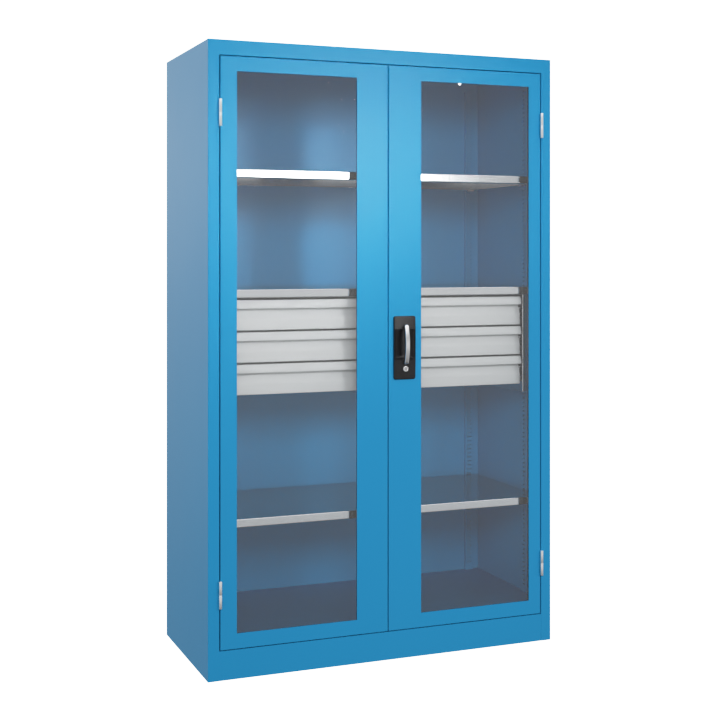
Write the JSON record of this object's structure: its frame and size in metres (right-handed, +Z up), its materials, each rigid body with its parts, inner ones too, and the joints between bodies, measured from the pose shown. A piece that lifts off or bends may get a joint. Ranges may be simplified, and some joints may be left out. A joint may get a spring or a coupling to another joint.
{
  "type": "workshop cupboard",
  "caption": "Tall sheet-steel workshop cupboard: hinged windowed doors with a rod-lock bow handle, galvanised shelves and blocks of shallow drawers under the middle shelf.",
  "frame": {"origin": "under the middle of the overall box, on the floor", "axes": "+Z up, +X to the right seen from the front, the doors face -Y"},
  "size_m": [1.185, 0.57, 1.95],
  "materials": {
    "blue_paint": "light blue powder coat with a fine orange peel, satin gloss",
    "grey_paint": "light grey powder coat, satin",
    "galvanised": "galvanised sheet, glossy with faint spangle",
    "zinc": "bright zinc plating",
    "black_plastic": "moulded black plastic, fine grain",
    "satin_silver": "satin silver",
    "bright_metal": "nickel-plated",
    "rubber": "black rubber",
    "clear_pane": "clear pane"
  },
  "bodies": {
    "carcass": {"side_panel_left": "blue_paint", "side_panel_right": "blue_paint", "top_panel": "blue_paint", "back_panel": "blue_paint", "floor_panel": "blue_paint", "front_plinth": "blue_paint", "rear_base_rail": "blue_paint", "foot_brackets": "zinc", "levelling_feet": "blue_paint", "slotted_uprights": "blue_paint", "shelf_top": "galvanised", "shelf_middle": "galvanised", "shelf_lower": "galvanised", "shelf_clips": "zinc", "drawer_housing_left": "galvanised", "drawer_housing_right": "galvanised", "drawer_fixed_rails": "galvanised", "hinge_frame_leaves": "zinc", "hinge_pins": "zinc", "strike_plates": "zinc", "door_buffers": "rubber"},
    "door_left": {"door_panel_left": "blue_paint", "door_stiffeners_left": "blue_paint", "window_gasket_left": "rubber", "window_pane_left": "clear_pane", "pane_retainer_left": "black_plastic", "hinge_door_leaves_left": "zinc"},
    "door_right": {"door_panel_right": "blue_paint", "door_stiffeners_right": "blue_paint", "window_gasket_right": "rubber", "window_pane_right": "clear_pane", "pane_retainer_right": "black_plastic", "hinge_door_leaves_right": "zinc", "handle_housing": "black_plastic", "lock_case": "zinc", "rod_guides": "black_plastic", "lock_barrel": "bright_metal"},
    "handle": {"handle_bow": "satin_silver", "spindle_pinion": "zinc"},
    "lock_core": {"lock_core": "bright_metal"},
    "rod_upper": {"upper_lock_rod": "zinc"},
    "rod_lower": {"lower_lock_rod": "zinc"},
    "drawer_left_1": {"drawer_front_left_1": "grey_paint", "drawer_tray_left_1": "grey_paint", "drawer_rails_left_1": "galvanised"},
    "drawer_left_2": {"drawer_front_left_2": "grey_paint", "drawer_tray_left_2": "grey_paint", "drawer_rails_left_2": "galvanised"},
    "drawer_left_3": {"drawer_front_left_3": "grey_paint", "drawer_tray_left_3": "grey_paint", "drawer_rails_left_3": "galvanised"},
    "drawer_right_1": {"drawer_front_right_1": "grey_paint", "drawer_tray_right_1": "grey_paint", "drawer_rails_right_1": "galvanised"},
    "drawer_right_2": {"drawer_front_right_2": "grey_paint", "drawer_tray_right_2": "grey_paint", "drawer_rails_right_2": "galvanised"},
    "drawer_right_3": {"drawer_front_right_3": "grey_paint", "drawer_tray_right_3": "grey_paint", "drawer_rails_right_3": "galvanised"}
  },
  "joints": [
    {"name": "door_left_hinge", "type": "hinge", "parent": "carcass", "child": "door_left", "pos_m": [-0.5553, -0.2575, 0.95], "axis": [0, 0, -1], "range_deg": [0, 180]},
    {"name": "door_right_hinge", "type": "hinge", "parent": "carcass", "child": "door_right", "pos_m": [0.5553, -0.2575, 0.95], "axis": [0, 0, 1], "range_deg": [0, 180]},
    {"name": "handle_turn", "type": "hinge", "parent": "door_right", "child": "handle", "pos_m": [0.055, -0.26, 1.066], "axis": [0, -1, 0], "range_deg": [0, 90]},
    {"name": "rod_upper_slide", "type": "slide", "parent": "door_right", "child": "rod_upper", "axis": [0, 0, 1], "range_m": [0, 0.0197]},
    {"name": "rod_lower_slide", "type": "slide", "parent": "door_right", "child": "rod_lower", "axis": [0, 0, -1], "range_m": [0, 0.0197]},
    {"name": "key_turn", "type": "hinge", "parent": "door_right", "child": "lock_core", "pos_m": [0.055, -0.2655, 0.93], "axis": [0, -1, 0], "range_deg": [0, 90]},
    {"name": "drawer_left_1_slide", "type": "slide", "parent": "carcass", "child": "drawer_left_1", "axis": [0, -1, 0], "range_m": [0, 0.32]},
    {"name": "drawer_left_2_slide", "type": "slide", "parent": "carcass", "child": "drawer_left_2", "axis": [0, -1, 0], "range_m": [0, 0.32]},
    {"name": "drawer_left_3_slide", "type": "slide", "parent": "carcass", "child": "drawer_left_3", "axis": [0, -1, 0], "range_m": [0, 0.32]},
    {"name": "drawer_right_1_slide", "type": "slide", "parent": "carcass", "child": "drawer_right_1", "axis": [0, -1, 0], "range_m": [0, 0.32]},
    {"name": "drawer_right_2_slide", "type": "slide", "parent": "carcass", "child": "drawer_right_2", "axis": [0, -1, 0], "range_m": [0, 0.32]},
    {"name": "drawer_right_3_slide", "type": "slide", "parent": "carcass", "child": "drawer_right_3", "axis": [0, -1, 0], "range_m": [0, 0.32]}
  ],
  "couplings": [
    {"joint": "rod_upper_slide", "follows": "handle_turn", "m_per_rad": 0.0125},
    {"joint": "rod_lower_slide", "follows": "handle_turn", "m_per_rad": 0.0125},
    {"joint": "drawer_left_1_slide", "follows": "door_left_hinge", "m_per_rad": 0.04},
    {"joint": "drawer_left_2_slide", "follows": "door_left_hinge", "m_per_rad": 0.051},
    {"joint": "drawer_left_3_slide", "follows": "door_left_hinge", "m_per_rad": 0.062},
    {"joint": "drawer_right_1_slide", "follows": "door_right_hinge", "m_per_rad": 0.04},
    {"joint": "drawer_right_2_slide", "follows": "door_right_hinge", "m_per_rad": 0.051},
    {"joint": "drawer_right_3_slide", "follows": "door_right_hinge", "m_per_rad": 0.062}
  ]
}
